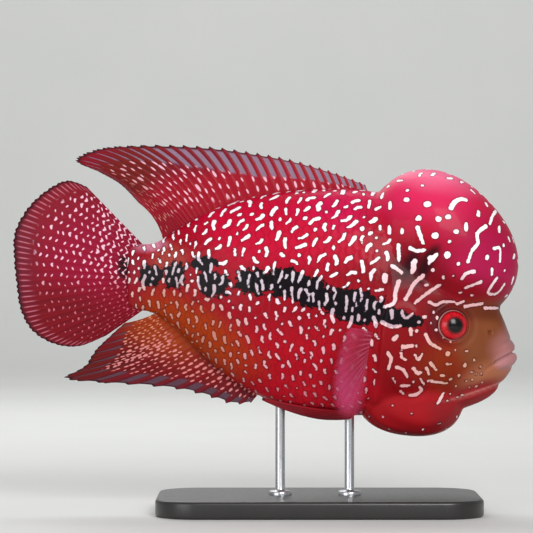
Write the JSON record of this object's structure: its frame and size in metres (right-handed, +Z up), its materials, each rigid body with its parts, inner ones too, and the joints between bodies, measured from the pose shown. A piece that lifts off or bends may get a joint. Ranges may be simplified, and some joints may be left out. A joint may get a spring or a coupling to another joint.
{
  "type": "flowerhorn cichlid model",
  "caption": "Life-size still model of a red flowerhorn cichlid with a nuchal hump, spread fins and throat pouch, held on a flat display base by short rods.",
  "frame": {"origin": "on the floor, under the middle of the bounding box", "axes": "+Z up, +X from the tail towards the snout, +Y towards the fish's left side"},
  "size_m": [0.2635, 0.092, 0.1911],
  "materials": {
    "red_skin": "satin, like wet scales",
    "snout_skin": "satin",
    "throat_skin": "satin",
    "fin_red": "satin",
    "fin_clear": "clear to milky",
    "eye": "high gloss",
    "stand_base": "satin black",
    "stand_rod": "brushed"
  },
  "bodies": {
    "root": {"nuchal_hump": "red_skin", "head": "snout_skin", "lower_jaw": "snout_skin", "throat_pouch": "throat_skin", "torso": "red_skin", "tail_stem": "red_skin", "dorsal_fin": "fin_red", "anal_fin": "fin_red", "caudal_fin": "fin_red", "gill_cover_left": "red_skin", "gill_cover_right": "red_skin", "eye_left": "eye", "eye_right": "eye", "pectoral_fin_left": "fin_clear", "pectoral_fin_right": "fin_clear", "pelvic_fin_left": "fin_red", "pelvic_fin_right": "fin_red", "stand_base": "stand_base", "stand_rod_rear": "stand_rod", "stand_rod_front": "stand_rod"}
  },
  "joints": []
}
